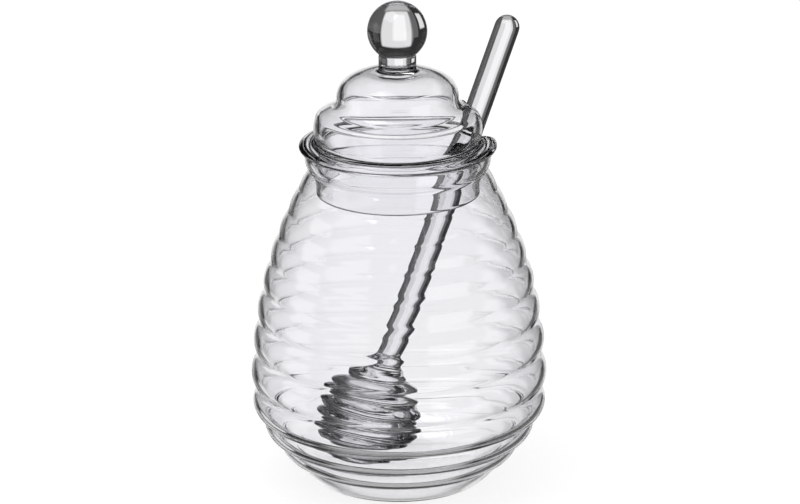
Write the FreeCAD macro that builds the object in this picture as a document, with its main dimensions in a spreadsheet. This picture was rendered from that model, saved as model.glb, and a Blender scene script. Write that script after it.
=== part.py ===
import FreeCAD, Part
import Sketcher
import math
import os

# A clear glass honey pot: a ring-ribbed hive jar, a two-tier lid with a ball knob, and a glass dipper
# that stands inside, leans on the jar's rim and leaves through a notch in the lid.
# Millimetres, +Z up, origin at the middle of the jar's foot. The notch opens between +X and +Y.

SIZES = {
    # hive jar
    "jar_height": 118.0,
    "wall": 1.8,
    "neck_radius": 30.2,
    "rim_height": 7.0,
    "rim_flare": 1.1,
    "rim_swell": 0.9,
    "belly_radius": 47.9,
    "belly_height": 35.7,
    "heel_height": 32.6,
    "foot_ring_height": 8.2,
    "foot_radius": 28.8,
    "foot_width": 4.0,
    "push_up": 0.8,
    "floor_mound": 0.9,
    "shoulder_power": 2.41,
    "heel_power": 1.98,
    # rings of the hive: how much taller each is than the one above, and how far they swell
    "ring_growth": 0.105,
    "ring_shrink": 0.092,
    "neck_swell": 0.36,
    "belly_swell": 3.86,
    "foot_swell": 0.48,
    "swell_power": 1.45,
    "groove_round": 4.0,
    "crease_round": 1.0,
    "lip_round": 0.8,
    # lid
    "lid_wall": 1.9,
    "seat_gap": 0.3,
    "flange_thickness": 2.6,
    "flange_overhang": 2.3,
    "collar_clearance": 0.6,
    "collar_length": 15.6,
    "lower_tier_step": 0.1,
    "lower_tier_foot": 3.3,
    "lower_tier_height": 11.9,
    "ledge_width": 8.1,
    "upper_tier_foot": 14.0,
    "shoulder_step": 2.1,
    "shoulder_height": 24.4,
    "shoulder_swell": 0.6,
    "upper_tier_swell": 1.9,
    "ledge_swell": 0.1,
    "lower_tier_swell": 0.8,
    "flange_swell": 1.3,
    "flange_edge": 1.1,
    "knob_neck_radius": 6.4,
    "knob_neck_height": 27.8,
    "ball_radius": 10.2,
    "ball_height": 41.1,
    "lid_round": 1.2,
    "tier_round": 3.0,
    "notch_clearance": 2.4,
    "notch_turn": 19.5,
    # dipper
    "dipper_length": 168.0,
    "rod_radius": 3.8,
    "lean": 20.7,
    "rest_gap": 0.3,
    "head_length": 38.0,
    "core_radius": 12.9,
    "core_end_radius": 8.8,
    "tip_height": 4.5,
    "coil_radius": 14.2,
    "coil_end_radius": 4.5,
    "coil_bead": 2.4,
    "coil_pitch": 5.6,
    "coil_start": 4.0,
    "coil_fullness": 0.75,
}

UPPER_RINGS = 8
HEEL_RINGS = 3
COIL_POINTS_PER_TURN = 16

# Heights and radii that several pieces share, as expressions over the sheet.
NECK = "(Sizes.jar_height - Sizes.rim_height)"
FLANGE_FOOT = "(Sizes.jar_height + Sizes.seat_gap)"
COLLAR_FOOT = f"({FLANGE_FOOT} - Sizes.collar_length)"
RIM_RADIUS = "(Sizes.neck_radius + Sizes.rim_flare)"
FLANGE_RADIUS = f"({RIM_RADIUS} + Sizes.flange_overhang)"
COLLAR_RADIUS = "(Sizes.neck_radius - Sizes.wall - Sizes.collar_clearance)"
LOWER_TIER_RADIUS = f"({COLLAR_RADIUS} + Sizes.lower_tier_step)"
UPPER_TIER_RADIUS = f"({LOWER_TIER_RADIUS} - Sizes.ledge_width)"
SHOULDER_RADIUS = f"({UPPER_TIER_RADIUS} - Sizes.shoulder_step)"
TIP_RADIUS = "((Sizes.core_end_radius ^ 2 + Sizes.tip_height ^ 2) / (2 * Sizes.tip_height))"

# The rod leans on the rounded inner lip of the rim, and its rounded tip stands on the jar's floor.
LIP_ROUND = "min(Sizes.lip_round; 0.45 * Sizes.wall)"
LIP_HEIGHT = f"(Sizes.jar_height - {LIP_ROUND})"
ROD_AT_LIP = (f"({RIM_RADIUS} - Sizes.wall + {LIP_ROUND}"
              f" - (Sizes.rod_radius + Sizes.rest_gap + {LIP_ROUND}) / cos(Sizes.lean * 1deg))")
TIP_CENTRE_HEIGHT = f"(Sizes.wall + Sizes.floor_mound + Sizes.rest_gap / 2 + {TIP_RADIUS})"
TIP_CENTRE_REACH = f"({ROD_AT_LIP} - ({LIP_HEIGHT} - {TIP_CENTRE_HEIGHT}) * tan(Sizes.lean * 1deg))"
DIPPER_REACH = f"({TIP_CENTRE_REACH} - {TIP_RADIUS} * sin(Sizes.lean * 1deg))"
DIPPER_FOOT = f"({TIP_CENTRE_HEIGHT} - {TIP_RADIUS} * cos(Sizes.lean * 1deg))"
ROD_AT_FLANGE = f"({ROD_AT_LIP} + ({FLANGE_FOOT} - {LIP_HEIGHT}) * tan(Sizes.lean * 1deg))"


def leaning(reach, height):
    """Placement on the dipper's line: so far out towards the notch, so high, and leaning outward."""
    return (f"placement(vector({reach} * cos(Sizes.notch_turn * 1deg);"
            f" {reach} * sin(Sizes.notch_turn * 1deg); {height});"
            " rotation(Sizes.notch_turn; Sizes.lean; 0))")


DIPPER_PLACEMENT = leaning(DIPPER_REACH, DIPPER_FOOT)
ROD_PLACEMENT = leaning(ROD_AT_FLANGE, FLANGE_FOOT)


def make_sheet(document):
    """Write the driving dimensions into the sheet, one named cell each."""
    sheet = document.addObject("Spreadsheet::Sheet", "Sizes")
    for row, (name, size) in enumerate(SIZES.items(), start=1):
        sheet.set(f"A{row}", name.replace("_", " "))
        sheet.set(f"B{row}", str(size))
        sheet.setAlias(f"B{row}", name)
    document.recompute()
    return sheet


def origin_plane(body, role):
    """Return one of a body's own origin planes."""
    return next(feature for feature in body.Origin.OriginFeatures if feature.Role == role)


def new_sketch(body, name, plane):
    """Add a sketch on one of the body's origin planes."""
    sketch = body.newObject("Sketcher::SketchObject", name)
    sketch.AttachmentSupport = [(origin_plane(body, plane), "")]
    sketch.MapMode = "FlatFace"
    return sketch


class Outline:
    """A closed sketch outline: corners and arc radii are expressions over the sheet."""

    def __init__(self, sketch):
        self.sketch = sketch
        self.corners = []
        self.arcs = []

    def number(self, expression):
        return float(self.sketch.evalExpression(expression))

    def corner(self, across, up, radius=None, bulge_left=True):
        """Add a corner, reached from the last one by a line, or by an arc of the given radius."""
        self.corners.append((across, up))
        self.arcs.append((radius, bulge_left))

    def swell(self, across, up, depth):
        """Add a corner reached by an arc that swells out to the left by the given depth."""
        last_across, last_up = self.corners[-1]
        chord = f"hypot(({across}) - ({last_across}); ({up}) - ({last_up}))"
        self.corner(across, up, f"({depth}) / 2 + {chord} ^ 2 / (8 * ({depth}))")

    def point(self, index):
        across, up = self.corners[index % len(self.corners)]
        return FreeCAD.Vector(self.number(across), self.number(up), 0)

    def build(self):
        """Draw the outline and tie it to the sheet."""
        count = len(self.corners)
        ends = []
        for index in range(count):
            ends.append(self.draw_side(index))
        for index in range(count):
            last_end = ends[index][1]
            next_start = ends[(index + 1) % count][0]
            self.constrain("Coincident", *last_end, *next_start)
        for index in range(count):
            self.place_corner(index, ends[index][0])

    def draw_side(self, index):
        """Draw the side from one corner to the next, and return the ids of its two ends."""
        start = self.point(index)
        end = self.point(index + 1)
        radius, bulge_left = self.arcs[(index + 1) % len(self.corners)]
        if radius is None:
            side = self.sketch.addGeometry(Part.LineSegment(start, end), False)
            return (side, 1), (side, 2)
        size = self.number(radius)
        chord = end - start
        depth = size - math.sqrt(size ** 2 - chord.Length ** 2 / 4)
        left = FreeCAD.Vector(-chord.y, chord.x, 0).normalize()
        middle = (start + end) / 2 + left * (depth if bulge_left else -depth)
        side = self.sketch.addGeometry(Part.Arc(start, middle, end), False)
        self.constrain("Radius", side, size, tie=radius)
        if (self.sketch.getPoint(side, 1) - start).Length < (self.sketch.getPoint(side, 2) - start).Length:
            return (side, 1), (side, 2)
        return (side, 2), (side, 1)

    def place_corner(self, index, end):
        """Hold a corner at its expressions, or on an axis where it is zero."""
        across, up = self.corners[index]
        for expression, kind, axis in ((across, "DistanceX", -2), (up, "DistanceY", -1)):
            if expression == "0":
                self.constrain("PointOnObject", *end, axis)
            else:
                self.constrain(kind, -1, 1, *end, self.number(expression), tie=expression)

    def constrain(self, kind, *values, tie=None):
        index = self.sketch.addConstraint(Sketcher.Constraint(kind, *values))
        if tie is not None:
            self.sketch.setExpression(f"Constraints[{index}]", tie)


def add_turned(body, kind, label, trace_corners):
    """Turn an outline once round the Z axis, to add to the body or to cut from it."""
    sketch = new_sketch(body, f"{label}_outline", "XZ_Plane")
    outline = Outline(sketch)
    trace_corners(outline)
    outline.build()
    before = body.Shape.Volume if not body.Shape.isNull() else 0
    turned = body.newObject(kind, label)
    turned.Profile = sketch
    turned.ReferenceAxis = (sketch, ["V_Axis"])
    turned.Angle = 360
    body.Document.recompute()
    change = body.Shape.Volume - before
    if (change < 0) != (kind == "PartDesign::Groove"):
        raise RuntimeError(f"{label} changed the volume by {change:.1f}")
    return outline, turned


def round_edges(body, base, label, size, points):
    """Round the circular edges of a turned solid that pass through the given outline points."""
    names = []
    for number, edge in enumerate(base.Shape.Edges, start=1):
        start = edge.Vertexes[0].Point
        reach = math.hypot(start.x, start.y)
        level = edge.BoundBox.ZLength < 1e-4
        if level and any(math.hypot(reach - spot.x, start.z - spot.y) < 1e-3 for spot in points):
            names.append(f"Edge{number}")
    if len(names) != len(points):
        raise RuntimeError(f"{label}: {len(names)} edges found for {len(points)} corners")
    fillet = body.newObject("PartDesign::Fillet", label)
    fillet.Base = (base, names)
    fillet.setExpression("Radius", size)
    body.Document.recompute()
    return fillet


# ---------------------------------------------------------------- hive jar

def ring_height(ring):
    """Height of the groove above a ring, counted from the neck down."""
    if ring <= UPPER_RINGS:
        spread = f"({ring} + Sizes.ring_growth * {ring * (ring - 1) / 2})"
        whole = f"({UPPER_RINGS} + Sizes.ring_growth * {UPPER_RINGS * (UPPER_RINGS - 1) / 2})"
        return f"({NECK} - ({NECK} - Sizes.heel_height) * {spread} / {whole})"
    step = ring - UPPER_RINGS
    spread = f"({step} - Sizes.ring_shrink * {step * (step - 1) / 2})"
    whole = f"({HEEL_RINGS} - Sizes.ring_shrink * {HEEL_RINGS * (HEEL_RINGS - 1) / 2})"
    fall = "(Sizes.heel_height - Sizes.foot_ring_height)"
    return f"(Sizes.heel_height - {fall} * {spread} / {whole})"


def hive_radius(height, above_belly):
    """Radius of the hive's envelope, full at the belly and drawn in to the neck and the foot."""
    if above_belly:
        share = f"(({height} - Sizes.belly_height) / ({NECK} - Sizes.belly_height))"
        end_radius = "Sizes.neck_radius"
        power = "Sizes.shoulder_power"
    else:
        share = f"((Sizes.belly_height - {height}) / Sizes.belly_height)"
        end_radius = "Sizes.foot_radius"
        power = "Sizes.heel_power"
    return f"(Sizes.belly_radius - (Sizes.belly_radius - {end_radius}) * {share} ^ {power})"


def ring_swell(ring):
    """How far a ring stands out: slight at the neck, deep at the belly, slight at the foot."""
    if ring <= UPPER_RINGS:
        share = f"{ring / UPPER_RINGS} ^ Sizes.swell_power"
        return f"(Sizes.neck_swell + (Sizes.belly_swell - Sizes.neck_swell) * {share})"
    share = (ring - UPPER_RINGS) / HEEL_RINGS
    return f"(Sizes.belly_swell + (Sizes.foot_swell - Sizes.belly_swell) * {share})"


def jar_corners(outline):
    """Trace the jar's outside from the rim down its twelve rings to the foot."""
    rings = UPPER_RINGS + HEEL_RINGS + 1
    outline.corner("0", "Sizes.jar_height")
    outline.corner(RIM_RADIUS, "Sizes.jar_height")
    outline.swell("Sizes.neck_radius", NECK, "Sizes.rim_swell")
    for ring in range(1, rings):
        height = ring_height(ring)
        above_belly = outline.number(f"{height} - Sizes.belly_height") >= 0
        outline.swell(hive_radius(height, above_belly), height, ring_swell(ring - 1))
    outline.swell("Sizes.foot_radius", "0", ring_swell(rings - 1))
    outline.corner("0", "0")


FOOT_INSIDE = "(Sizes.foot_radius - Sizes.foot_width)"


def cap_radius(rise):
    """Radius of a shallow cap that spans the inside of the foot and rises by the given height."""
    return f"({FOOT_INSIDE} ^ 2 + ({rise}) ^ 2) / (2 * ({rise}))"


def push_up_corners(outline):
    """Trace the shallow hollow pressed up into the underside, inside the foot ring."""
    outline.corner("0", "0")
    outline.corner("0", "Sizes.push_up")
    outline.corner(FOOT_INSIDE, "0", cap_radius("Sizes.push_up"))


def floor_corners(outline):
    """Trace the thicker middle of the floor, a low mound on the inside."""
    outline.corner("0", "Sizes.wall / 2")
    outline.corner("0", "Sizes.wall + Sizes.floor_mound")
    outline.corner(FOOT_INSIDE, "Sizes.wall", cap_radius("Sizes.floor_mound"))
    outline.corner(FOOT_INSIDE, "Sizes.wall / 2")


def make_jar(document):
    """Turn the hive, round the grooves between its rings, and hollow it to an even wall."""
    body = document.addObject("PartDesign::Body", "jar")
    outline, turned = add_turned(body, "PartDesign::Revolution", "jar_hive", jar_corners)
    grooves = [outline.point(index) for index in range(3, UPPER_RINGS + 3)]
    creases = [outline.point(2)]
    creases += [outline.point(index) for index in range(UPPER_RINGS + 3, UPPER_RINGS + HEEL_RINGS + 3)]
    rounded = round_edges(body, turned, "jar_grooves", "Sizes.groove_round", grooves)
    grooved = round_edges(body, rounded, "jar_creases", "Sizes.crease_round", creases)
    height = outline.number("Sizes.jar_height")
    mouth = [f"Face{number}" for number, face in enumerate(grooved.Shape.Faces, start=1)
             if abs(face.BoundBox.ZMin - height) < 1e-6]
    shell = body.newObject("PartDesign::Thickness", "jar_shell")
    shell.Base = (grooved, mouth)
    shell.Reversed = True
    shell.setExpression("Value", "Sizes.wall")
    document.recompute()
    rim_edges = [f"Edge{number}" for number, edge in enumerate(shell.Shape.Edges, start=1)
                 if abs(edge.BoundBox.ZMin - height) < 1e-6 and edge.BoundBox.ZLength < 1e-6]
    lip = body.newObject("PartDesign::Fillet", "jar_lip")
    lip.Base = (shell, rim_edges)
    lip.setExpression("Radius", LIP_ROUND)
    document.recompute()
    add_turned(body, "PartDesign::Revolution", "jar_floor", floor_corners)
    add_turned(body, "PartDesign::Groove", "jar_push_up", push_up_corners)
    return body


# ---------------------------------------------------------------- lid

def lid_point(radius, height, inset="0"):
    """A corner of the lid, its height counted from the flange's foot, inset by the wall inside."""
    return f"({radius}) - ({inset})", f"{FLANGE_FOOT} + ({height}) - ({inset})"


def lid_corners(outline):
    """Trace the lid's outside from the ball down its two tiers, the flange and the collar."""
    ball_drop = "sqrt(Sizes.ball_radius ^ 2 - Sizes.knob_neck_radius ^ 2)"
    outline.corner("0", f"{FLANGE_FOOT} + Sizes.ball_height + Sizes.ball_radius")
    outline.corner(*lid_point("Sizes.knob_neck_radius", f"Sizes.ball_height - {ball_drop}"),
                   "Sizes.ball_radius")
    outline.corner(*lid_point("Sizes.knob_neck_radius", "Sizes.knob_neck_height"))
    outline.swell(*lid_point(SHOULDER_RADIUS, "Sizes.shoulder_height"), "Sizes.shoulder_swell")
    outline.swell(*lid_point(UPPER_TIER_RADIUS, "Sizes.upper_tier_foot"), "Sizes.upper_tier_swell")
    outline.swell(*lid_point(LOWER_TIER_RADIUS, "Sizes.lower_tier_height"), "Sizes.ledge_swell")
    outline.swell(*lid_point(LOWER_TIER_RADIUS, "Sizes.lower_tier_foot"), "Sizes.lower_tier_swell")
    outline.swell(*lid_point(FLANGE_RADIUS, "Sizes.flange_thickness / 2"), "Sizes.flange_swell")
    outline.swell(*lid_point(f"{FLANGE_RADIUS} - Sizes.flange_edge", "0"), "Sizes.flange_edge / 2")
    outline.corner(*lid_point(COLLAR_RADIUS, "0"))
    outline.corner(COLLAR_RADIUS, COLLAR_FOOT)
    outline.corner("0", COLLAR_FOOT)


def lid_hollow_corners(outline):
    """Trace the space inside the lid, one wall in from the tiers and the collar."""
    wall = "Sizes.lid_wall"
    outline.corner("0", f"{FLANGE_FOOT} + Sizes.knob_neck_height - {wall}")
    outline.corner(*lid_point("Sizes.knob_neck_radius", "Sizes.knob_neck_height", wall))
    outline.swell(*lid_point(SHOULDER_RADIUS, "Sizes.shoulder_height", wall),
                  "Sizes.shoulder_swell")
    outline.swell(*lid_point(UPPER_TIER_RADIUS, "Sizes.upper_tier_foot", wall),
                  "Sizes.upper_tier_swell")
    outline.swell(*lid_point(LOWER_TIER_RADIUS, "Sizes.lower_tier_height", wall),
                  "Sizes.ledge_swell")
    outline.swell(*lid_point(LOWER_TIER_RADIUS, "Sizes.lower_tier_foot", wall),
                  "Sizes.lower_tier_swell")
    outline.corner(f"{COLLAR_RADIUS} - {wall}", f"{COLLAR_FOOT} + Sizes.collar_length / 2")
    outline.corner(f"{COLLAR_RADIUS} - {wall}", COLLAR_FOOT)
    outline.corner("0", COLLAR_FOOT)


def make_lid(document):
    """Turn the lid, round its corners, hollow it, and cut the notch that the dipper leaves by."""
    body = document.addObject("PartDesign::Body", "lid")
    outline, turned = add_turned(body, "PartDesign::Revolution", "lid_dome", lid_corners)
    creases = [outline.point(index) for index in (1, 2, 4, 6)]
    smoothed = round_edges(body, turned, "lid_creases", "Sizes.lid_round", creases)
    round_edges(body, smoothed, "lid_tier_round", "Sizes.tier_round", [outline.point(5)])
    hollow, hollowed = add_turned(body, "PartDesign::Groove", "lid_hollow", lid_hollow_corners)
    rim = [outline.point(10), hollow.point(7)]
    round_edges(body, hollowed, "lid_collar_edge", "min(Sizes.lip_round; 0.45 * Sizes.lid_wall)", rim)
    cut_notch(body)
    return body


def cut_notch(body):
    """Cut a U slot along the rod's own line, closed towards the middle and open at the flange."""
    sketch = new_sketch(body, "lid_notch_outline", "XY_Plane")
    sketch.setExpression("AttachmentOffset", ROD_PLACEMENT)
    radius = "(Sizes.rod_radius + Sizes.notch_clearance)"
    outline = Outline(sketch)
    outline.corner("0", radius)
    outline.corner(f"-{radius}", "0", radius, bulge_left=False)
    outline.corner("0", f"-{radius}", radius, bulge_left=False)
    outline.corner(FLANGE_RADIUS, f"-{radius}")
    outline.corner(FLANGE_RADIUS, radius)
    outline.build()
    before = body.Shape.Volume
    notch = body.newObject("PartDesign::Pocket", "lid_notch")
    notch.Profile = sketch
    notch.SideType = "Symmetric"
    notch.setExpression("Length", "2 * (Sizes.collar_length + Sizes.lower_tier_height)")
    body.Document.recompute()
    if body.Shape.Volume >= before:
        raise RuntimeError("the notch cuts nothing")


# ---------------------------------------------------------------- dipper

def core_corners(outline):
    """Trace the rod from its rounded top down to the barrel core and its rounded tip."""
    outline.corner("0", "Sizes.dipper_length")
    outline.corner("Sizes.rod_radius", "Sizes.dipper_length - Sizes.rod_radius", "Sizes.rod_radius")
    outline.corner("Sizes.rod_radius", "Sizes.head_length")
    outline.corner("Sizes.core_end_radius", "Sizes.head_length - Sizes.tip_height")
    outline.swell("Sizes.core_end_radius", "Sizes.tip_height", "Sizes.core_radius - Sizes.core_end_radius")
    outline.corner("0", "0", TIP_RADIUS)


def coil_shape(sheet):
    """A round bead of glass wound up the barrel, its two ends sunk into the core."""
    bead = sheet.get("coil_bead")
    start = sheet.get("coil_start")
    end_radius = sheet.get("coil_end_radius")
    full_radius = sheet.get("coil_radius")
    rise = sheet.get("head_length") - 2 * start
    turns = rise / sheet.get("coil_pitch")
    steps = round(turns * COIL_POINTS_PER_TURN)
    points = []
    for step in range(steps + 1):
        share = step / steps
        angle = 2 * math.pi * turns * share
        fullness = max(0.0, math.sin(math.pi * share)) ** sheet.get("coil_fullness")
        radius = end_radius + (full_radius - end_radius) * fullness
        height = start + rise * share
        points.append(FreeCAD.Vector(radius * math.cos(angle), radius * math.sin(angle), height))
    curve = Part.BSplineCurve()
    curve.interpolate(points)
    direction = curve.tangent(curve.FirstParameter)[0]
    section = Part.Wire([Part.Circle(points[0], direction, bead).toShape()])
    pipe = Part.BRepOffsetAPI.MakePipeShell(Part.Wire([curve.toShape()]))
    pipe.setFrenetMode(True)
    pipe.add(section, False, False)
    pipe.build()
    pipe.makeSolid()
    return pipe.shape()


def make_dipper(document, sheet):
    """Join the wound bead to the core and rod, then lean the dipper on the jar's rim."""
    core = document.addObject("PartDesign::Body", "dipper_core")
    add_turned(core, "PartDesign::Revolution", "dipper_rod", core_corners)
    coil = document.addObject("Part::Feature", "dipper_coil")
    coil.Shape = coil_shape(sheet)
    dipper = document.addObject("Part::Fuse", "dipper")
    dipper.Base = core
    dipper.Tool = coil
    dipper.setExpression("Placement", DIPPER_PLACEMENT)
    document.recompute()
    return dipper


# ---------------------------------------------------------------- whole

def check(document, pieces):
    """Stop if any object failed or any piece is not one valid solid."""
    for thing in document.Objects:
        if "Invalid" in thing.State or "Error" in thing.State:
            raise RuntimeError(f"{thing.Label} did not build: {thing.State}")
    for piece in pieces:
        if piece.Shape.isNull() or not piece.Shape.isValid() or len(piece.Shape.Solids) != 1:
            raise RuntimeError(f"{piece.Label} is not one valid solid")


def main():
    document = FreeCAD.newDocument("honey_pot")
    sheet = make_sheet(document)
    pieces = [make_jar(document), make_lid(document), make_dipper(document, sheet)]
    document.recompute()
    check(document, pieces)
    os.makedirs("parts", exist_ok=True)
    for piece in pieces:
        piece.Shape.exportStep(f"parts/{piece.Label}.step")
        print(f"{piece.Label}: {piece.Shape.Volume / 1000:.1f} cm3, {piece.Shape.BoundBox}")


main()
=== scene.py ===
# %% [markdown]
# A honey pot in clear glass: a jar ribbed like a straw beehive, a stepped lid with a solid ball for
# a knob, and a solid glass dipper that leans out through a notch in the lid's edge. Nothing is in
# it. Clear glass has hardly any colour of its own, so what makes it look like glass is its exact
# form, its wall, and what stands round it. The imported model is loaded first. The heights of the
# pieces and the place of the dipper are read from it, and the other sizes are named as they come.

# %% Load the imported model
import math

import bmesh
import bpy
from mathutils import Matrix, Vector


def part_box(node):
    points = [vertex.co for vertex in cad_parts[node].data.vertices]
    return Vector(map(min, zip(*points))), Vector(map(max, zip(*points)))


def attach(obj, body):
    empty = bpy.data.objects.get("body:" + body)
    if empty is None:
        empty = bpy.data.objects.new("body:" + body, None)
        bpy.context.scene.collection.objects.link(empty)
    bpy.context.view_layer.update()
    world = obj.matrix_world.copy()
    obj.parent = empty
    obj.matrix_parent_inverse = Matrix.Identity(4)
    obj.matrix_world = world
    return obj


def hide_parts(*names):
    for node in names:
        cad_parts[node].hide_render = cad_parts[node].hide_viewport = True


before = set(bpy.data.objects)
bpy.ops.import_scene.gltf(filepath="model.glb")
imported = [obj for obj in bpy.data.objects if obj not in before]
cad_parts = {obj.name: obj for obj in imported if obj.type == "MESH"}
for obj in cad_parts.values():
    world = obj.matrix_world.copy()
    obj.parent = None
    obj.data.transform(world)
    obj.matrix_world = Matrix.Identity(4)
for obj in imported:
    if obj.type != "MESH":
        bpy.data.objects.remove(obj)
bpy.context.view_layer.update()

MM = 0.001
jar_low, jar_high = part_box("jar")
lid_low, lid_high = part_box("lid")
dipper_low, dipper_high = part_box("dipper")
print("jar", jar_low, jar_high)
print("lid", lid_low, lid_high)
print("dipper", dipper_low, dipper_high)

# %% [markdown]
# All three pieces are round, so each starts as half of its section, drawn as points from the axis
# round to the axis again. Arcs are drawn by how far they swell from the straight line between
# their ends, because that is how a rib is seen. Glass never has a truly sharp corner, since the
# flame melts it round, so a corner can be given a radius, or a reach over which it is softened.

# %% A half section made of lines, arcs and softened corners
STEP = 0.9 * MM
LEAST_STEPS = 4
CURVE_STEPS = 8
LEAST_TURN = 0.05
TINY = 1e-6


class Section:
    """Half of a round piece's section, as (radius, height) points from the axis to the axis."""

    def __init__(self, radius, height):
        self.points = [Vector((radius, height))]
        self.soft = {}
        self.rounds = {}

    def line(self, radius, height, soft=0.0):
        """Go straight to a corner; soft is how far from the corner its rounding starts."""
        self.points.append(Vector((radius, height)))
        self.mark(soft)

    def arc(self, radius, height, depth, soft=0.0, step=STEP):
        """Go to a corner along an arc that swells by depth to the left of the way."""
        start = self.points[-1]
        chord = Vector((radius, height)) - start
        along = chord.normalized()
        left = Vector((-along.y, along.x))
        half = 2 * math.atan(2 * depth / chord.length)
        size = chord.length / (2 * math.sin(half))
        middle = start + chord / 2 + left * (depth - size)
        count = max(LEAST_STEPS, math.ceil(2 * half * size / step))
        for number in range(1, count + 1):
            angle = half * (2 * number / count - 1)
            self.points.append(middle + left * size * math.cos(angle) + along * size * math.sin(angle))
        self.mark(soft)

    def follow(self, points, soft=0.0):
        """Go on along points that were worked out elsewhere."""
        self.points.extend(points)
        self.mark(soft)

    def mark(self, soft):
        """Note how far the corner just reached is softened, if at all."""
        if soft:
            self.soft[len(self.points) - 1] = soft

    def round(self, radius):
        """Round the corner just reached to a radius, once the way on from it is known."""
        self.rounds[len(self.points) - 1] = radius

    def reach_of_rounds(self):
        """Work out how far from its corner each rounding starts."""
        for corner, radius in self.rounds.items():
            way_in = self.points[corner] - self.points[corner - 1]
            way_out = self.points[corner + 1] - self.points[corner]
            self.soft[corner] = radius * math.tan(way_in.angle(way_out) / 2)

    def walk(self, index, reach, way):
        """The point that lies reach along the section from a corner, and the next index past it."""
        here = self.points[index]
        while 0 < index < len(self.points) - 1:
            index += way
            there = self.points[index]
            length = (there - here).length
            if length > reach:
                return here + (there - here) * reach / length, index
            reach -= length
            here = there
        return here, index

    def softened(self):
        """The points, with a short curve in place of each marked corner that leaves its sides smoothly."""
        self.reach_of_rounds()
        points = list(self.points)
        for corner in sorted(self.soft, reverse=True):
            before, first = self.walk(corner, self.soft[corner], -1)
            after, last = self.walk(corner, self.soft[corner], 1)
            way_in = before - self.points[first]
            way_out = self.points[last] - after
            tip = self.points[corner]
            if way_in.length > TINY and way_out.length > TINY:
                tip = crossing(before, way_in, after, way_out) or tip
            curve = []
            for number in range(CURVE_STEPS + 1):
                share = number / CURVE_STEPS
                curve.append(before.lerp(tip, share).lerp(tip.lerp(after, share), share))
            points[first + 1:last] = curve
        return points


def crossing(place, way, other, other_way):
    """Where two lines cross, unless they run almost the same way."""
    turn = way.cross(other_way)
    if abs(turn) < LEAST_TURN * way.length * other_way.length:
        return None
    return place + way * ((other - place).cross(other_way) / turn)


def turned(points, segments):
    """Turn a half section once round the Z axis into one closed mesh."""
    form = bmesh.new()
    verts = [form.verts.new((point.x, 0, point.y)) for point in points]
    edges = [form.edges.new(pair) for pair in zip(verts, verts[1:])]
    bmesh.ops.spin(form, geom=verts + edges, cent=(0, 0, 0), axis=(0, 0, 1), dvec=(0, 0, 0),
                   angle=math.tau, steps=segments, use_merge=True, use_duplicate=False)
    bmesh.ops.remove_doubles(form, verts=form.verts, dist=1e-7)
    bmesh.ops.recalc_face_normals(form, faces=form.faces)
    return form


def finished(name, form):
    """Make a smooth piece from a bmesh that rides on the pot."""
    mesh = bpy.data.meshes.new(name)
    form.to_mesh(mesh)
    form.free()
    mesh.shade_smooth()
    piece = bpy.data.objects.new(name, mesh)
    bpy.context.scene.collection.objects.link(piece)
    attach(piece, "root")
    triangles = sum(len(face.vertices) - 2 for face in mesh.polygons)
    print(f"{name}: {triangles} triangles")
    return piece


# %% [markdown]
# The jar is blown into a mould, so its outside takes twelve rings from the neck to the foot. They
# are low and close together at the top, tall and deep at the belly, and low again at the foot. Two
# smooth curves say where the grooves between the rings lie, one above the belly and one below it,
# and each ring is an arc from one groove to the next.

# %% Where the jar's grooves lie
UPPER_RINGS = 8
HEEL_RINGS = 3
WALL = 1.8 * MM
NECK_RADIUS = 30.2 * MM
RIM_FLARE = 1.1 * MM
RIM_HEIGHT = 7.0 * MM
RIM_SWELL = 0.9 * MM
FOOT_RADIUS = 28.8 * MM
BELLY_RADIUS = 47.9 * MM
BELLY_HEIGHT = 35.7 * MM
HEEL_HEIGHT = 32.6 * MM
FOOT_RING_HEIGHT = 8.2 * MM
SHOULDER_POWER = 2.41
HEEL_POWER = 1.98
RING_GROWTH = 0.105
RING_SHRINK = 0.092
NECK_SWELL = 0.36 * MM
BELLY_SWELL = 3.86 * MM
FOOT_SWELL = 0.48 * MM
SWELL_POWER = 1.45

jar_top = jar_high[2]
neck_height = jar_top - RIM_HEIGHT


def groove_height(ring):
    """Height of the groove below a ring, counted from the neck down."""
    if ring <= UPPER_RINGS:
        share = ring + RING_GROWTH * ring * (ring - 1) / 2
        whole = UPPER_RINGS + RING_GROWTH * UPPER_RINGS * (UPPER_RINGS - 1) / 2
        return neck_height - (neck_height - HEEL_HEIGHT) * share / whole
    step = ring - UPPER_RINGS
    share = step - RING_SHRINK * step * (step - 1) / 2
    whole = HEEL_RINGS - RING_SHRINK * HEEL_RINGS * (HEEL_RINGS - 1) / 2
    return HEEL_HEIGHT - (HEEL_HEIGHT - FOOT_RING_HEIGHT) * share / whole


def hive_radius(height):
    """Radius of the hive through its grooves at a height."""
    if height >= BELLY_HEIGHT:
        share = (height - BELLY_HEIGHT) / (neck_height - BELLY_HEIGHT)
        return BELLY_RADIUS - (BELLY_RADIUS - NECK_RADIUS) * share ** SHOULDER_POWER
    share = (BELLY_HEIGHT - height) / BELLY_HEIGHT
    return BELLY_RADIUS - (BELLY_RADIUS - FOOT_RADIUS) * share ** HEEL_POWER


def ring_swell(ring):
    """How far the ring below a groove stands out from the line between its grooves."""
    if ring <= UPPER_RINGS:
        return NECK_SWELL + (BELLY_SWELL - NECK_SWELL) * (ring / UPPER_RINGS) ** SWELL_POWER
    return BELLY_SWELL - (BELLY_SWELL - FOOT_SWELL) * (ring - UPPER_RINGS) / HEEL_RINGS


grooves = [(NECK_RADIUS, neck_height)]
for ring in range(1, UPPER_RINGS + HEEL_RINGS + 1):
    height = groove_height(ring)
    grooves.append((hive_radius(height), height))
grooves.append((FOOT_RADIUS, 0.0))
for radius, height in grooves:
    print(f"groove at {height / MM:.1f} mm, radius {radius / MM:.1f} mm")

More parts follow.
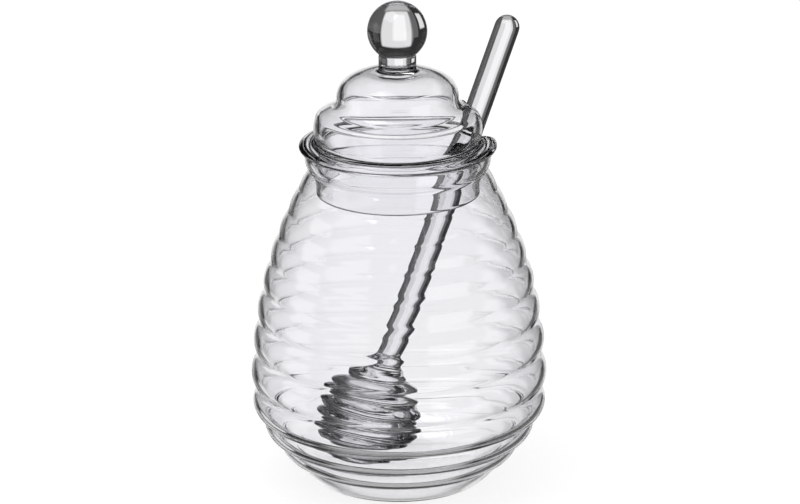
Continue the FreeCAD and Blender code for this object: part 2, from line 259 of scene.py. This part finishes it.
# %% [markdown]
# A mould-blown jar keeps an even wall, so the inside follows the outside one wall in: deep grooves
# outside become broad soft ridges inside. Each point of the outer line is moved square to the line.
# The floor is thicker in the middle, where the gather of glass was, and the foot is pushed up
# underneath so that the jar stands on a ring.

# %% Draw the jar's section and turn it
GROOVE_ROUND = 4.0 * MM
CREASE_ROUND = 1.0 * MM
LIP_SOFT = 0.85 * MM
FOOT_SOFT = 2.6 * MM
FOOT_INNER_SOFT = 1.2 * MM
FOOT_WIDTH = 4.0 * MM
PUSH_UP = 0.8 * MM
FLOOR_MOUND = 0.9 * MM
FLOOR_SOFT = 2.0 * MM
FLOOR_CORNER = Vector((0.8 * MM, 1.0 * MM))
MOUND_SHARE = 0.2
JAR_SEGMENTS = 176

rim_radius = NECK_RADIUS + RIM_FLARE


def swelling(low, high, swell):
    """Middle and radius of the arc that swells outward between two points of the wall."""
    along = (high - low).normalized()
    size = ((high - low).length ** 2 / 4 + swell ** 2) / (2 * swell)
    return (low + high) / 2 - Vector((along.y, -along.x)) * (size - swell), size


def resting(low, high, size):
    """Middle of the round that rests outside two arcs, in the groove between them."""
    along = high[0] - low[0]
    reach = low[1] + size
    share = (reach ** 2 - (high[1] + size) ** 2) / along.length + along.length
    along.normalize()
    aside = math.sqrt(reach ** 2 - share ** 2 / 4)
    return low[0] + along * share / 2 + Vector((along.y, -along.x)) * aside


def arc_between(middle, start, end):
    """Points along the short arc round a middle from one place to another, without the first."""
    turn = (start - middle).angle_signed(end - middle)
    count = max(LEAST_STEPS, math.ceil(abs(turn) * (start - middle).length / STEP))
    points = []
    for number in range(1, count + 1):
        arm = (start - middle).copy()
        arm.rotate(Matrix.Rotation(-turn * number / count, 2))
        points.append(middle + arm)
    return points


def one_wall_in(line, wall):
    """Move each point of a line that goes down the outside by the wall towards the inside."""
    inside = []
    for before, place, after in zip([line[0]] + line, line, line[1:] + [line[-1]]):
        along = (after - before).normalized()
        inside.append(place + Vector((along.y, -along.x)) * wall)
    return inside


def hive_line():
    """The outer line of the jar's wall, from the foot up to the rim, with a round in every groove."""
    places = [Vector(place) for place in grooves]
    places.insert(0, Vector((rim_radius, jar_top)))
    swells = [RIM_SWELL] + [ring_swell(ring) for ring in range(len(grooves) - 1)]
    arcs = [swelling(low, high, swell) for high, low, swell in zip(places, places[1:], swells)]
    arcs.reverse()
    line = [places[-1]]
    for number, (low, high) in enumerate(zip(arcs, arcs[1:])):
        groove = len(grooves) - 2 - number
        size = GROOVE_ROUND if 1 <= groove <= UPPER_RINGS else CREASE_ROUND
        middle = resting(low, high, size)
        line += arc_between(low[0], line[-1], low[0] + (middle - low[0]).normalized() * low[1])
        line += arc_between(middle, line[-1], high[0] + (middle - high[0]).normalized() * high[1])
    line += arc_between(arcs[-1][0], line[-1], places[0])
    return line


outside = hive_line()
inside = [point for point in one_wall_in(outside[::-1], WALL) if point.y > WALL + FLOOR_CORNER.y]
foot_inside = FOOT_RADIUS - FOOT_WIDTH
jar_section = Section(0.0, PUSH_UP)
jar_section.arc(foot_inside, 0.0, PUSH_UP * MOUND_SHARE, FOOT_INNER_SOFT)
jar_section.line(*outside[0], FOOT_SOFT)
jar_section.follow(outside[1:], LIP_SOFT)
jar_section.follow(inside[:1], LIP_SOFT)
jar_section.follow(inside[1:])
jar_section.line(inside[-1].x - FLOOR_CORNER.x, WALL, FLOOR_SOFT)
jar_section.arc(0.0, WALL + FLOOR_MOUND, -FLOOR_MOUND * MOUND_SHARE)
jar_points = jar_section.softened()
print(len(jar_points), "points")
jar = finished("jar_blown", turned(jar_points, JAR_SEGMENTS))
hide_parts("jar")

# %% [markdown]
# The lid is one piece of glass: the ball is solid and so is its neck, and below them a thin dome
# steps down in two tiers to a flange that lies on the jar's rim. A collar hangs inside the mouth so
# that the lid can't slide. It is turned like the jar, ball first. The underside follows the dome one
# wall in, and rises to a low point under the knob. Heights are counted up from the flange's foot.

# %% Draw the lid's section and turn it
LID_WALL = 1.9 * MM
COLLAR_CLEARANCE = 0.6 * MM
COLLAR_LENGTH = 15.6 * MM
FLANGE_OVERHANG = 2.3 * MM
FLANGE_THICKNESS = 3.0 * MM
FLANGE_EDGE = 1.1 * MM
FLANGE_SWELL = 0.6 * MM
FLANGE_SOFT = 0.8 * MM
FLANGE_EDGE_SOFT = 0.5 * MM
SEAT_SOFT = 0.3 * MM
SEAT_HOLLOW = 1.4 * MM
BALL_RADIUS = 10.2 * MM
KNOB_NECK_RADIUS = 6.4 * MM
KNOB_NECK_HEIGHT = 27.2 * MM
SHOULDER_STEP = 2.15 * MM
SHOULDER_HEIGHT = 24.2 * MM
SHOULDER_SWELL = 1.0 * MM
SHOULDER_SOFT = 1.5 * MM
UPPER_TIER_FOOT = 15.3 * MM
UPPER_TIER_SWELL = 1.6 * MM
LEDGE_WIDTH = 7.5 * MM
LEDGE_SWELL = 0.3 * MM
LOWER_TIER_STEP = 0.3 * MM
LOWER_TIER_HEIGHT = 12.0 * MM
LOWER_TIER_FOOT = 2.9 * MM
LOWER_TIER_SWELL = 1.2 * MM
COLLAR_SOFT = 0.85 * MM
COLLAR_BEND = 2.0 * MM
BALL_ROUND = 1.2 * MM
BALL_SOFT = 0.7 * MM
NECK_GAP = 0.8 * MM
LID_ROUND = 2.6 * MM
TIER_ROUND = 4.6 * MM
CROWN_DEPTH = 1.6 * MM
CROWN_RISE = 1.6 * MM
CROWN_SWELL = 0.2 * MM
CROWN_SOFT = 0.8 * MM
LID_SEGMENTS = 160

collar_foot = lid_low[2]
flange_foot = collar_foot + COLLAR_LENGTH
knob_neck_foot = flange_foot + KNOB_NECK_HEIGHT
flange_radius = NECK_RADIUS + RIM_FLARE + FLANGE_OVERHANG
collar_radius = NECK_RADIUS - WALL - COLLAR_CLEARANCE
collar_inside = collar_radius - LID_WALL
lower_tier = collar_radius - LOWER_TIER_STEP
upper_tier = lower_tier - LEDGE_WIDTH
shoulder = upper_tier - SHOULDER_STEP
ball_height = lid_high[2] - BALL_RADIUS
neck_top = ball_height - math.sqrt(BALL_RADIUS ** 2 - KNOB_NECK_RADIUS ** 2)

dome = Section(KNOB_NECK_RADIUS, neck_top - NECK_GAP)
dome.line(KNOB_NECK_RADIUS, knob_neck_foot)
dome.round(BALL_ROUND)
dome.arc(shoulder, flange_foot + SHOULDER_HEIGHT, SHOULDER_SWELL, SHOULDER_SOFT)
dome.arc(upper_tier, flange_foot + UPPER_TIER_FOOT, UPPER_TIER_SWELL)
dome.round(LID_ROUND)
dome.arc(lower_tier, flange_foot + LOWER_TIER_HEIGHT, LEDGE_SWELL)
dome.round(TIER_ROUND)
dome.arc(lower_tier, flange_foot + LOWER_TIER_FOOT, LOWER_TIER_SWELL)
tiers = dome.softened()
crown = knob_neck_foot - CROWN_DEPTH
under = [point for point in one_wall_in(tiers, LID_WALL) if point.y < crown]

lid_section = Section(0.0, lid_high[2])
ball_chord = math.hypot(KNOB_NECK_RADIUS, lid_high[2] - neck_top)
ball_swell = BALL_RADIUS - math.sqrt(BALL_RADIUS ** 2 - ball_chord ** 2 / 4)
lid_section.arc(KNOB_NECK_RADIUS, neck_top, ball_swell, BALL_SOFT)
lid_section.follow(tiers, BALL_ROUND)
lid_section.arc(flange_radius, flange_foot + FLANGE_THICKNESS / 2, FLANGE_SWELL, FLANGE_SOFT)
lid_section.arc(flange_radius - FLANGE_EDGE, flange_foot, FLANGE_EDGE / 2, FLANGE_EDGE_SOFT)
lid_section.line(rim_radius, flange_foot, SEAT_SOFT)
lid_section.arc(collar_radius, flange_foot, -SEAT_HOLLOW, SEAT_SOFT)
lid_section.line(collar_radius, collar_foot, COLLAR_SOFT)
lid_section.line(collar_inside, collar_foot, COLLAR_SOFT)
lid_section.line(collar_inside, flange_foot - COLLAR_LENGTH / 2, COLLAR_BEND)
lid_section.follow(under[::-1], CROWN_SOFT)
lid_section.arc(0.0, crown + CROWN_RISE, CROWN_SWELL)
lid_form = turned(lid_section.softened(), LID_SEGMENTS)
print(len(lid_form.faces), "faces before the notch")

# %% [markdown]
# The dipper is a solid rod that ends in a fat spiral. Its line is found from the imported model: the
# rod's round end is the highest and outermost part of the dipper, and the rod's line meets the
# pot's own axis when it is drawn on downwards. The rod is a little fuller here than in the packed
# model. Its line is moved inward by as much, so that its outer side stays clear of the jar's rim.

# %% Find the dipper's line
LEAN = math.radians(20.7)
NOTCH_TURN = math.radians(19.5)
ROD_RADIUS = 3.8 * MM
ROD_FULLER = 0.5 * MM
DIPPER_LENGTH = 168.0 * MM

outward = Vector((math.cos(NOTCH_TURN), math.sin(NOTCH_TURN), 0))
rod_way = outward * math.sin(LEAN) + Vector((0, 0, math.cos(LEAN)))
end_reach = (dipper_high[0] - ROD_RADIUS) / math.cos(NOTCH_TURN)
rod_end = outward * end_reach + Vector((0, 0, dipper_high[2] - ROD_RADIUS))
rod_side = outward * math.cos(LEAN) - Vector((0, 0, math.sin(LEAN)))
dipper_foot = rod_end - rod_way * (DIPPER_LENGTH - ROD_RADIUS) - rod_side * ROD_FULLER
dipper_turn = Matrix.Rotation(NOTCH_TURN, 4, "Z") @ Matrix.Rotation(LEAN, 4, "Y")
dipper_place = Matrix.Translation(dipper_foot) @ dipper_turn
print("dipper stands at", [round(value / MM, 1) for value in dipper_foot])

# %% [markdown]
# The notch is cut where the rod passes. A slot is drawn square to the rod, round at its inner end
# and running out past the flange at the other, and is drawn out along the rod into a cutter. The
# lid is cut with it once, and its new edges are rounded a little, as a flame leaves them.

# %% Cut the notch
NOTCH_CLEARANCE = 2.4 * MM
NOTCH_EDGE = 0.5 * MM
NOTCH_SEGMENTS = 64
CUTTER_LENGTH = 60 * MM
EDGE_STEPS = 3
EDGE_ANGLE = math.radians(40)


def rod_at(height):
    """The point of the rod's centre line at a height."""
    return dipper_foot + rod_way * (height - dipper_foot.z) / rod_way.z


def notch_cutter():
    """A slot square to the rod, drawn out along it."""
    form = bmesh.new()
    bmesh.ops.create_circle(form, cap_ends=True, segments=NOTCH_SEGMENTS,
                            radius=ROD_RADIUS + NOTCH_CLEARANCE)
    outer = [vert for vert in form.verts if vert.co.x > TINY]
    bmesh.ops.translate(form, verts=outer, vec=(flange_radius, 0, 0))
    bmesh.ops.translate(form, verts=form.verts, vec=(0, 0, -CUTTER_LENGTH / 2))
    drawn = bmesh.ops.extrude_face_region(form, geom=list(form.faces))
    drawn_verts = [part for part in drawn["geom"] if isinstance(part, bmesh.types.BMVert)]
    bmesh.ops.translate(form, verts=drawn_verts, vec=(0, 0, CUTTER_LENGTH))
    bmesh.ops.recalc_face_normals(form, faces=form.faces)
    bmesh.ops.transform(form, matrix=Matrix.Translation(rod_at(flange_foot)) @ dipper_turn,
                        verts=form.verts)
    mesh = bpy.data.meshes.new("notch_cutter")
    form.to_mesh(mesh)
    form.free()
    cutter = bpy.data.objects.new("notch_cutter", mesh)
    bpy.context.scene.collection.objects.link(cutter)
    return cutter


def with_modifiers(piece):
    """Turn a piece's modifiers into its own mesh."""
    graph = bpy.context.evaluated_depsgraph_get()
    mesh = bpy.data.meshes.new_from_object(piece.evaluated_get(graph))
    piece.modifiers.clear()
    piece.data = mesh


lid = finished("lid_turned", lid_form)
cutter = notch_cutter()
cut = lid.modifiers.new("notch", "BOOLEAN")
cut.operation = "DIFFERENCE"
cut.solver = "EXACT"
cut.object = cutter
with_modifiers(lid)
bpy.data.objects.remove(cutter)
edge = lid.modifiers.new("notch_edge", "BEVEL")
edge.width = NOTCH_EDGE
edge.segments = EDGE_STEPS
edge.limit_method = "ANGLE"
edge.angle_limit = EDGE_ANGLE
edge.harden_normals = False
with_modifiers(lid)
lid.data.shade_smooth()
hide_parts("lid")
print("lid:", len(lid.data.polygons), "faces after the notch")

# %% [markdown]
# The head of the dipper is a thick thread of glass wound round a barrel, so that honey clings
# between its turns. The whole dipper is turned first as rod and barrel. Then each point of the
# barrel is drawn in by where it lies between two turns of the thread: not at all at the middle of a
# turn, and furthest at the groove. That keeps one closed skin, which glass needs, with no thread
# hidden inside the barrel.

# %% Turn the dipper and wind its thread
HEAD_LENGTH = 40.0 * MM
HEAD_END_RADIUS = 9.4 * MM
TIP_HEIGHT = 4.5 * MM
CREST_RADIUS = 18.2 * MM
GROOVE_DEPTH = 4.2 * MM
PITCH = 6.4 * MM
DIPPER_SEGMENTS = 128
HEAD_STEP = 0.35 * MM
HEAD_SOFT = 2.5 * MM
SHOULDER_REACH = 2.0 * MM
FOOT_REACH = 1.5 * MM
FOOT_DEPTH = 1.2 * MM
RIDGE_POWER = 0.55
THREAD_START = 2.5 * MM
THREAD_END = 1.5 * MM
THREAD_FADE = 4.0 * MM

rod_size = ROD_RADIUS + ROD_FULLER
dipper_section = Section(0.0, DIPPER_LENGTH)
dipper_section.arc(rod_size, DIPPER_LENGTH - rod_size, rod_size * (1 - math.sqrt(0.5)))
dipper_section.line(rod_size, HEAD_LENGTH, HEAD_SOFT)
dipper_section.line(HEAD_END_RADIUS, HEAD_LENGTH - TIP_HEIGHT, SHOULDER_REACH)
dipper_section.arc(HEAD_END_RADIUS, TIP_HEIGHT, CREST_RADIUS - HEAD_END_RADIUS, FOOT_REACH, HEAD_STEP)
dipper_section.arc(0.0, 0.0, FOOT_DEPTH)


def thread_depth(point):
    """How deep a point of the barrel lies below the thread's crest."""
    turn = math.atan2(point.y, point.x) / math.tau
    share = point.z / PITCH - turn
    ridge = abs(math.cos(math.pi * share)) ** RIDGE_POWER
    below = (point.z - THREAD_START) / THREAD_FADE
    above = (HEAD_LENGTH - THREAD_END - point.z) / THREAD_FADE
    return GROOVE_DEPTH * (1 - ridge) * max(0.0, min(1.0, below, above))


dipper_form = turned(dipper_section.softened(), DIPPER_SEGMENTS)
for vert in dipper_form.verts:
    radius = math.hypot(vert.co.x, vert.co.y)
    if radius > rod_size and 0 < vert.co.z < HEAD_LENGTH:
        drawn_in = 1 - thread_depth(vert.co) / radius
        vert.co.x *= drawn_in
        vert.co.y *= drawn_in
bmesh.ops.transform(dipper_form, matrix=dipper_place, verts=dipper_form.verts)
dipper = finished("dipper_wound", dipper_form)
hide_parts("dipper")

# %% [markdown]
# Clear glass bends light and colours it very little. The surface isn't perfect: blown glass has
# slow waves where it cooled, which bend what is seen through it, so a weak bump of wide noise goes
# into the normal. The colour is a breath of blue-grey that varies slowly from place to place.

# %% The glass
GLASS_INDEX = 1.47
TINT_SCALE = 0.3
PALE = (1.0, 1.0, 1.0)
DEEP = (0.97, 0.97, 1.0)
DEEP_SOLID = (0.95, 0.95, 0.98)


def clear_glass(name, pale, deep, wave_size, wave_height):
    """Clear glass between two colours, with slow waves in its surface."""
    material = bpy.data.materials.new(name)
    material.use_nodes = True
    nodes = material.node_tree.nodes
    links = material.node_tree.links
    shader = nodes["Principled BSDF"]
    shader.inputs["Metallic"].default_value = 0
    shader.inputs["Roughness"].default_value = 0.0
    shader.inputs["IOR"].default_value = GLASS_INDEX
    shader.inputs["Transmission Weight"].default_value = 1
    place = nodes.new("ShaderNodeTexCoord")
    waves = nodes.new("ShaderNodeTexNoise")
    waves.inputs["Scale"].default_value = 1 / wave_size
    waves.inputs["Detail"].default_value = 1.0
    tint = nodes.new("ShaderNodeTexNoise")
    tint.inputs["Scale"].default_value = TINT_SCALE / wave_size
    colours = nodes.new("ShaderNodeValToRGB")
    colours.color_ramp.elements[0].color = (*deep, 1)
    colours.color_ramp.elements[1].color = (*pale, 1)
    bump = nodes.new("ShaderNodeBump")
    bump.inputs["Strength"].default_value = 1.0
    bump.inputs["Distance"].default_value = wave_height
    links.new(place.outputs["Object"], tint.inputs["Vector"])
    links.new(tint.outputs["Fac"], colours.inputs["Fac"])
    links.new(colours.outputs["Color"], shader.inputs["Base Color"])
    links.new(place.outputs["Object"], waves.inputs["Vector"])
    links.new(waves.outputs["Fac"], bump.inputs["Height"])
    links.new(bump.outputs["Normal"], shader.inputs["Normal"])
    return material


jar.data.materials.append(clear_glass("blown_glass", PALE, DEEP, 18 * MM, 0.12 * MM))
lid.data.materials.append(clear_glass("lid_blown_glass", PALE, DEEP, 14 * MM, 0.13 * MM))
dipper.data.materials.append(clear_glass("solid_glass", PALE, DEEP_SOLID, 9 * MM, 0.08 * MM))

# %% [markdown]
# Glass is lit from behind: a white panel stands behind it, no wider than it has to be, and the
# room beside the panel is dark. Rays that go straight through see the panel, and rays that the
# glass bends far see the dark, which draws its outlines. Bright panels stand opposite five views
# only: the main one, 0,3, 45,25, 90,3 and 225,15. From other sides the glass comes out dark.
# A ROOM of 1.0 lights it evenly, but leaves its outlines weak.
# The camera and the white sheet under the pot see plain white all round instead.

# %% The room, as seen by the glass
ROOM = 0.03
LIGHTS = [
    # middle azimuth, half width, lowest and highest elevation in degrees, strength, softness
    (88.5, 21, -43, 8, 0.79, 0.06),
    (93, 14, -42, 3, 1.0, 0.24),
    (90, 28, -64, -43, 0.50, 0.15),
    (315, 20, -40, 10, 0.9, 0.05),
    (0, 180, -90, -60, 0.45, 0.10),
    (40, 30, -55, -10, 0.11, 0.02),
    (115, 7, -50, -4, 0.14, 0.02),
    (136, 9, -40, -15, 0.85, 0.05),
    (180, 14, -30, 20, 0.9, 0.05),
]

world = bpy.data.worlds.new("studio")
bpy.context.scene.world = world
world.use_nodes = True
tree = world.node_tree
tree.nodes.clear()


def math_node(operation, *values, clamp=False):
    """A Math node of the world; each value is a number or another node's output."""
    node = tree.nodes.new("ShaderNodeMath")
    node.operation = operation
    node.use_clamp = clamp
    for socket, value in zip(node.inputs, values):
        if isinstance(value, (int, float)):
            socket.default_value = value
        else:
            tree.links.new(value, socket)
    return node.outputs[0]


def edge_of(value, limit, softness):
    """A mask that is 1 below the limit and 0 above it, with a soft edge between."""
    return math_node("MULTIPLY_ADD", value, -1 / softness, limit / softness + 0.5, clamp=True)


place = tree.nodes.new("ShaderNodeTexCoord")
parts = tree.nodes.new("ShaderNodeSeparateXYZ")
tree.links.new(place.outputs["Generated"], parts.inputs[0])
elevation = math_node("ARCSINE", parts.outputs["Z"])
azimuth = math_node("ARCTAN2", parts.outputs["Y"], parts.outputs["X"])
light = ROOM
for middle, half, low, high, strength, softness in LIGHTS:
    offset = math_node("SUBTRACT", azimuth, math.radians(middle))
    offset = math_node("WRAP", offset, math.pi, -math.pi)
    across = edge_of(math_node("ABSOLUTE", offset), math.radians(half), softness)
    rise = math_node("SUBTRACT", elevation, math.radians((low + high) / 2))
    upright = edge_of(math_node("ABSOLUTE", rise), math.radians((high - low) / 2), softness)
    panel = math_node("MULTIPLY", math_node("MULTIPLY", across, upright), strength)
    light = math_node("MAXIMUM", light, panel)
paths = tree.nodes.new("ShaderNodeLightPath")
seen = math_node("MAXIMUM", paths.outputs["Is Camera Ray"], paths.outputs["Is Diffuse Ray"])
light = math_node("MAXIMUM", light, seen)
background = tree.nodes.new("ShaderNodeBackground")
output = tree.nodes.new("ShaderNodeOutputWorld")
background.inputs["Color"].default_value = (1, 1, 1, 1)
tree.links.new(light, background.inputs["Strength"])
tree.links.new(background.outputs[0], output.inputs["Surface"])
print(len(tree.nodes), "nodes in the world")

# %% [markdown]
# The pot stands on a white sheet that runs on past the edge of the view. Most of its white is its
# own glow, and the rest is light from the room, which it loses where the pot shades it. Rays that
# come out of the glass pass through the sheet, so that the glass shows the room's panels below the
# level of the sheet too.

# %% The floor
FLOOR_SIZE = 6.0
SHEET_COLOUR = (0.15, 0.15, 0.15, 1)
SHEET_GLOW = 0.87
floor_form = bmesh.new()
bmesh.ops.create_grid(floor_form, x_segments=1, y_segments=1, size=FLOOR_SIZE / 2)
floor_mesh = bpy.data.meshes.new("floor")
floor_form.to_mesh(floor_mesh)
floor_form.free()
floor = bpy.data.objects.new("floor", floor_mesh)
bpy.context.scene.collection.objects.link(floor)
sheet = bpy.data.materials.new("white_sheet")
sheet.use_nodes = True
nodes = sheet.node_tree.nodes
links = sheet.node_tree.links
nodes.clear()
matt = nodes.new("ShaderNodeBsdfDiffuse")
matt.inputs["Color"].default_value = SHEET_COLOUR
glow = nodes.new("ShaderNodeEmission")
glow.inputs["Strength"].default_value = SHEET_GLOW
both = nodes.new("ShaderNodeAddShader")
clear = nodes.new("ShaderNodeBsdfTransparent")
ray = nodes.new("ShaderNodeLightPath")
bent = nodes.new("ShaderNodeMath")
bent.operation = "MAXIMUM"
choice = nodes.new("ShaderNodeMixShader")
result = nodes.new("ShaderNodeOutputMaterial")
links.new(matt.outputs[0], both.inputs[0])
links.new(glow.outputs[0], both.inputs[1])
links.new(ray.outputs["Is Transmission Ray"], bent.inputs[0])
links.new(ray.outputs["Is Glossy Ray"], bent.inputs[1])
links.new(bent.outputs[0], choice.inputs[0])
links.new(both.outputs[0], choice.inputs[1])
links.new(clear.outputs[0], choice.inputs[2])
links.new(choice.outputs[0], result.inputs["Surface"])
floor_mesh.materials.append(sheet)

# %% [markdown]
# The camera stands a little above the pot and far off, with a long lens, so that the pot shows
# without much perspective.

# %% The camera
AIM = Vector((0, 0, 81 * MM))
DISTANCE = 1.3
HEIGHT_ANGLE = math.radians(18.5)
ROLL = math.radians(-0.3)
LENS = 170.8
SIDE_SHIFT = 0.0020

camera_data = bpy.data.cameras.new("camera")
camera = bpy.data.objects.new("camera", camera_data)
bpy.context.scene.collection.objects.link(camera)
bpy.context.scene.camera = camera
camera_data.sensor_width = 36
camera_data.lens = LENS
camera_data.shift_x = SIDE_SHIFT
camera_data.clip_end = 100
back = Vector((0, -math.cos(HEIGHT_ANGLE), math.sin(HEIGHT_ANGLE)))
camera.location = AIM + back * DISTANCE
look = (-back).to_track_quat("-Z", "Y").to_matrix().to_4x4()
camera.matrix_world = Matrix.Translation(camera.location) @ look @ Matrix.Rotation(ROLL, 4, "Z")

# %% [markdown]
# Colours are shown as they are. A weak soft lamp above and to the left puts small highlights on the
# glass and gives the pot a faint shadow on the sheet.

# %% The colours and the lamp
LAMP_SIZE = 0.6
LAMP_POWER = 3
LAMP_PLACE = (-0.3, -0.2, 0.9)
LAMP_AIM = Vector((0, 0, 80 * MM))

bpy.context.scene.view_settings.view_transform = "Standard"
lamp_data = bpy.data.lights.new("softbox", "AREA")
lamp_data.size = LAMP_SIZE
lamp_data.energy = LAMP_POWER
lamp = bpy.data.objects.new("softbox", lamp_data)
lamp.location = LAMP_PLACE
lamp.rotation_euler = (LAMP_AIM - lamp.location).to_track_quat("-Z", "Y").to_euler()
bpy.context.scene.collection.objects.link(lamp)
